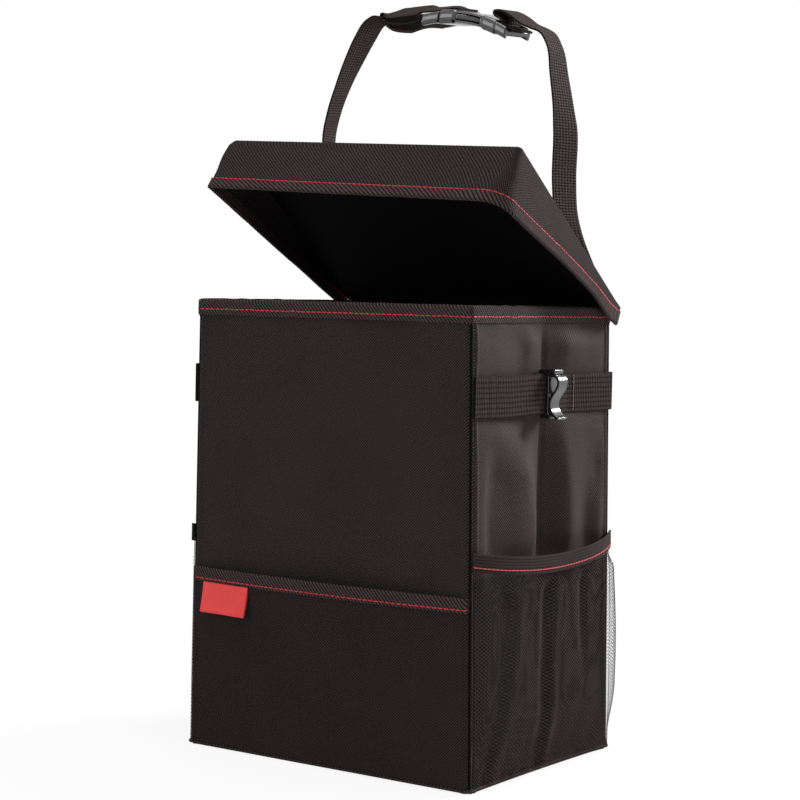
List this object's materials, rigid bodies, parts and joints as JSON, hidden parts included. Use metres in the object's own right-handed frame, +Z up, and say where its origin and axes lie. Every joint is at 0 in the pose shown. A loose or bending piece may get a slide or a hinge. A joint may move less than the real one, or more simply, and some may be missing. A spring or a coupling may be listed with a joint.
{
  "type": "car trash bin",
  "caption": "Upright cloth car trash bin with boarded walls, a hinged lid with lips, a front pocket, mesh side pockets, sliding bag clips and a buckled hanging strap.",
  "frame": {"origin": "centre of the base, on the floor", "axes": "+X to the right seen from the front, -Y out of the front, +Z up"},
  "size_m": [0.2588, 0.2019, 0.4963],
  "materials": {
    "cloth": "woven polyester, matt with a fine twill",
    "side_cloth": "smooth coated polyester, soft satin",
    "edge_tape": "twill tape with contrast stitching",
    "webbing": "ribbed polypropylene webbing",
    "mesh": "knitted net",
    "elastic": "ribbed elastic with contrast stitching",
    "tag": "folded satin ribbon",
    "board": "plain sheet",
    "liner": "coated film, slight sheen",
    "buckle": "glossy moulded"
  },
  "bodies": {
    "bin": {"front_panel": "cloth", "back_panel": "cloth", "left_side_panel": "side_cloth", "right_side_panel": "side_cloth", "base_panel": "cloth", "base_piping": "edge_tape", "front_board": "board", "back_board": "board", "base_board": "board", "liner": "liner", "rim_binding": "edge_tape", "front_pocket": "cloth", "front_pocket_binding": "edge_tape", "red_tag": "tag", "left_mesh_pocket": "mesh", "right_mesh_pocket": "mesh", "left_pocket_elastic": "elastic", "right_pocket_elastic": "elastic", "left_side_strap": "webbing", "right_side_strap": "webbing", "left_hanging_strap": "webbing", "right_hanging_strap": "webbing", "buckle_female": "buckle"},
    "lid": {"lid_cover": "cloth", "lid_board": "board", "lid_lining": "liner", "lid_skirt": "cloth", "lid_binding": "edge_tape"},
    "left_clip": {"left_bag_clip": "buckle"},
    "right_clip": {"right_bag_clip": "buckle"},
    "buckle_plug": {"buckle_male": "buckle"}
  },
  "joints": [
    {"name": "lid_hinge", "type": "hinge", "parent": "bin", "child": "lid", "pos_m": [0, 0.0828, 0.2944], "axis": [-1, 0, 0], "range_deg": [-33, 30]},
    {"name": "left_clip_slide", "type": "slide", "parent": "bin", "child": "left_clip", "axis": [0.0622, 0.9981, 0], "range_m": [-0.056, 0.009]},
    {"name": "right_clip_slide", "type": "slide", "parent": "bin", "child": "right_clip", "axis": [-0.0622, 0.9981, 0], "range_m": [-0.056, 0.009]},
    {"name": "buckle_release", "type": "slide", "parent": "bin", "child": "buckle_plug", "axis": [-0.9806, 0, 0.1959], "range_m": [0, 0.034], "deforming": ["buckle_male", "left_hanging_strap"]}
  ]
}
